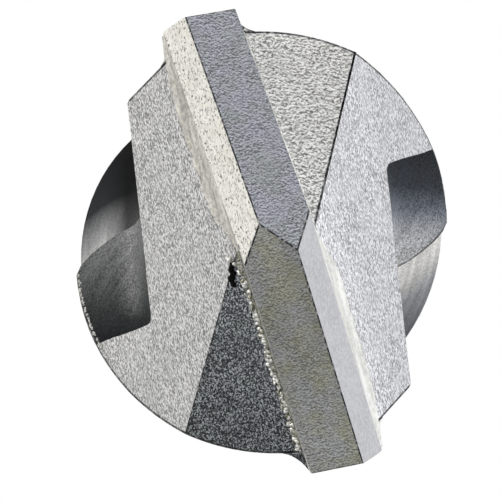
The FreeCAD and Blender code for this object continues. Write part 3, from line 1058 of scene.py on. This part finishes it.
class BIT_OT_braze_joint(bpy.types.Operator):
    """Refines the braze fillets and gives them a soft pale metal with burnt stains"""

    bl_idname = "bit.braze_joint"
    bl_label = "Braze Joint"

    def execute(self, context):
        body, _, head, colours = settings(context)
        piece = copy_of_node("braze_joint", "braze_fillets")
        plate_side = head.slot_width / 2 - BRAZE_FILM * MM

        def is_skin(face):
            return face.normal.z > SKIN_SLOPE and abs(face.calc_center_median().x) > plate_side

        def is_corner(at):
            return abs(at.y) > head.front_d / 2 - CORNER_REACH * MM and at.x * at.y > 0

        def is_corner_skin(face):
            return is_skin(face) and is_corner(face.calc_center_median())

        def is_outline(face):
            beside = (other for v in face.verts for other in v.link_faces)
            return is_corner_skin(face) and any(other.normal.z < SKIN_SLOPE for other in beside)

        with mesh_of(piece, merge=True) as bm:
            bmesh.ops.triangulate(bm, faces=bm.faces)
            split_finely(bm, is_skin, SKIN_EDGE * MM)
            split_finely(bm, is_corner_skin, CORNER_EDGE * MM)
            for side, depth in ((-1, LEFT_WAVES), (1, RIGHT_WAVES)):
                make_ragged(bm, lambda f: is_skin(f) and side * f.calc_center_median().x > 0, depth * MM)
            bm.faces.index_update()
            outline = {face.index for face in bm.faces if is_outline(face)}
        stain = colours.braze_stain
        # The right fillet and the beads take the painted lit braze; the corners copy the wedge's painted lit
        # and painted shade tones, and the dark bead is a painted shade copy
        materials = {
            "fillet_left": braze_metal("silver_brass_left", colours.braze, stain, dim=0.5),
            "fillet_right": braze_metal("silver_brass_right", colours.braze_painted_lit, stain, stains=0.2),
            "bead_bright": braze_metal("silver_brass_bead", colours.braze_painted_lit, stain, dim=0.5),
            "bead_dark": blasted(
                "silver_brass_bead_in_painted_shade", (0.15, 0.15, 0.12), 0.16, 0.4, 3.5, depth_mm=0.03, metal=0.4,
                middle=0.02,
            ),
            "corner_bright": blasted(
                "braze_corner_bright", colours.wedge_bright, 0.14, 0.35, 1.25, depth_mm=0.02, rough=0.55,
            ),
            "corner_dark": blasted(
                "braze_corner_dark", colours.wedge_dark, 0.12, 0.4, 3.6, depth_mm=0.02, rough=0.6,
                middle=0.03,
            ),
            "burnt_flux": dull_speckle_and_painted_shade("burnt_flux", 0.3, ((0, BURNT), (1, BURNT))),
            "edge": edge_line(colours),
        }

        def pick(face):
            at = face.center
            # The corners' outline faces get the painted dark line of shade
            if face.index in outline:
                return "edge"
            if at.x * at.y < 0:
                return "fillet_right" if at.x > 0 else "fillet_left"
            # Other braze faces by side: above y zero the painted lit copies, below it the painted shade
            # copies
            kind = "corner" if is_corner(at) else "bead"
            return kind + ("_bright" if at.y > 0 else "_dark")

        finish(piece, pick, materials, sharp_degrees=50)
        dice = random.Random(7)
        slope_x, slope_y, drop = wedge_plane(head)

        def on_wedge(x, y):
            return Vector((x, y, body.overall - drop - slope_x * abs(x) - slope_y * abs(y)))

        lumps = []
        for side, count, largest, kinds in BEADS:
            for _ in range(count):
                x = side * (plate_side + dice.gauss(*BEAD_PLACE) * MM)
                y = side * dice.uniform(*BEAD_REACH) * MM
                name = "burnt_flux" if dice.random() < BURNT_SHARE else dice.choice(kinds)
                lumps.append((on_wedge(x, y), dice.uniform(0.35, 1) * largest * MM, name))
        for x, y, size in POCKET_RIM:
            lumps.append((on_wedge(x * MM, y * MM), size * MM, "bead_bright"))
        start, end = (Vector(place) for place in POCKET)
        for i in range(BURNT_LUMPS):
            x, y = start.lerp(end, i / (BURNT_LUMPS - 1))
            at = on_wedge((x + dice.gauss(0, 0.03)) * MM, y * MM)
            lumps.append((at, dice.uniform(0.1, 0.17) * MM, "burnt_flux"))
        add_lumps(piece, lumps, list(materials), dice)
        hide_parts("braze_joint")
        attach(piece, "root")
        return {"FINISHED"}


def white_when_seen(n, plain, white, kind="ShaderNodeOutputMaterial"):
    """Shows the white shader to the camera and in reflections, and the plain one to the light."""
    to_camera = n.add("ShaderNodeLightPath", "Is Camera Ray")
    seen = n.math("MAXIMUM", to_camera, n.add("ShaderNodeLightPath", "Is Glossy Ray"))
    return n.show(n.add("ShaderNodeMixShader", "Shader", {0: seen, 1: plain, 2: white}), kind)


def in_picture(across, above, high):
    return across * PICTURE_RIGHT + above * PICTURE_UP + Vector((0, 0, high))


def aim_at(thing, place, aim):
    thing.location = place
    thing.rotation_euler = (Vector(aim) - Vector(place)).to_track_quat("-Z", "Y").to_euler()


def area_light(name, place, aim, power, size, light_colour):
    light = bpy.data.lights.new(name, "AREA")
    light.energy = power
    light.size = size
    light.color = light_colour
    lamp = bpy.data.objects.new(name, light)
    aim_at(lamp, place, aim)
    bpy.context.scene.collection.objects.link(lamp)


def dark_flag(name, place, aim, width, height):
    """A dark card that only reflections see, which gives bright metal its contrast."""
    bm = bmesh.new()
    bmesh.ops.create_grid(bm, x_segments=1, y_segments=1, size=0.5)
    bmesh.ops.scale(bm, vec=(width, height, 1), verts=bm.verts)
    flag = new_object(name, bm)
    aim_at(flag, place, aim)
    n = Nodes(name)
    flag.data.materials.append(n.show(n.add("ShaderNodeEmission", "Emission", {"Color": FLAG_COLOUR})))
    flag.visible_camera = False
    flag.visible_diffuse = False
    flag.visible_shadow = False


class BIT_OT_stage(bpy.types.Operator):
    """Sets the pale floor, the soft lights, the world and the end-on camera"""

    bl_idname = "bit.stage"
    bl_label = "Stage"

    def execute(self, context):
        scene = context.scene
        head_at = Vector((0, 0, scene.bit_body.overall - 5 * MM))
        bm = bmesh.new()
        bmesh.ops.create_grid(bm, x_segments=1, y_segments=1, size=3.0)
        floor = new_object("studio_floor", bm)
        n = Nodes("studio_floor_white")
        pale = n.add("ShaderNodeBsdfDiffuse", "BSDF", {"Color": 0.8})
        white = n.add("ShaderNodeEmission", "Emission")
        floor.data.materials.append(white_when_seen(n, pale, white))
        n = Nodes("studio_world", "worlds")
        pale = n.add("ShaderNodeBackground", "Background", {"Color": 1, "Strength": 0.5})
        white = n.add("ShaderNodeBackground", "Background", {"Color": 1, "Strength": 1})
        scene.world = white_when_seen(n, pale, white, "ShaderNodeOutputWorld")
        for name, across, above, high, power, size, light_colour in LIGHTS:
            place = head_at + in_picture(across, above, high)
            area_light(name, place, head_at, power, size, light_colour)
        for name, across, above, high, aim, width, height in FLAGS:
            dark_flag(name, in_picture(across, above, high), (0, 0, aim), width, height)
        for number, bearing in enumerate(SIDE_FLAGS):
            a = radians(bearing)
            place = Vector((SIDE_FLAG_AWAY * cos(a), SIDE_FLAG_AWAY * sin(a), SIDE_FLAG_UP))
            dark_flag(f"flag_side_{number}", place, (0, 0, SIDE_FLAG_UP), 0.16, 0.2)
        camera_data = bpy.data.cameras.new("end_on_camera")
        camera_data.lens = CAMERA_LENS
        camera_data.sensor_width = 36
        camera_data.clip_start = 0.01
        camera_data.clip_end = 20
        camera = bpy.data.objects.new("end_on_camera", camera_data)
        camera.location = Vector(CAMERA_PLACE) * MM
        camera.rotation_euler = [radians(degrees) for degrees in CAMERA_TURN]
        scene.collection.objects.link(camera)
        scene.camera = camera
        scene.view_settings.view_transform = "Standard"
        return {"FINISHED"}


class BIT_PT_panel(bpy.types.Panel):
    bl_label = "Hammer Drill Bit"
    bl_idname = "BIT_PT_panel"
    bl_space_type = "VIEW_3D"
    bl_region_type = "UI"
    bl_category = "Drill Bit"

    def draw(self, context):
        for group in GROUPS:
            box = self.layout.box()
            values = getattr(context.scene, group)
            for name in values.__annotations__:
                box.prop(values, name)
        for operator in OPERATORS:
            self.layout.operator(operator.bl_idname)


GROUPS = {"bit_body": BodySizes, "bit_flutes": FluteSizes, "bit_head": HeadSizes, "bit_finishes": Finishes}
OPERATORS = (BIT_OT_steel_body, BIT_OT_carbide_tip, BIT_OT_braze_joint, BIT_OT_stage)


def register():
    for group in GROUPS.values():
        bpy.utils.register_class(group)
    for name, group in GROUPS.items():
        setattr(bpy.types.Scene, name, PointerProperty(type=group))
    for kind in OPERATORS + (BIT_PT_panel,):
        bpy.utils.register_class(kind)


def unregister():
    for kind in reversed(OPERATORS + (BIT_PT_panel,)):
        bpy.utils.unregister_class(kind)
    for name, group in reversed(GROUPS.items()):
        delattr(bpy.types.Scene, name)
        bpy.utils.unregister_class(group)


def main():
    register()
    bpy.ops.bit.steel_body()
    bpy.ops.bit.carbide_tip()
    bpy.ops.bit.braze_joint()
    bpy.ops.bit.stage()


if __name__ == "__main__":
    main()
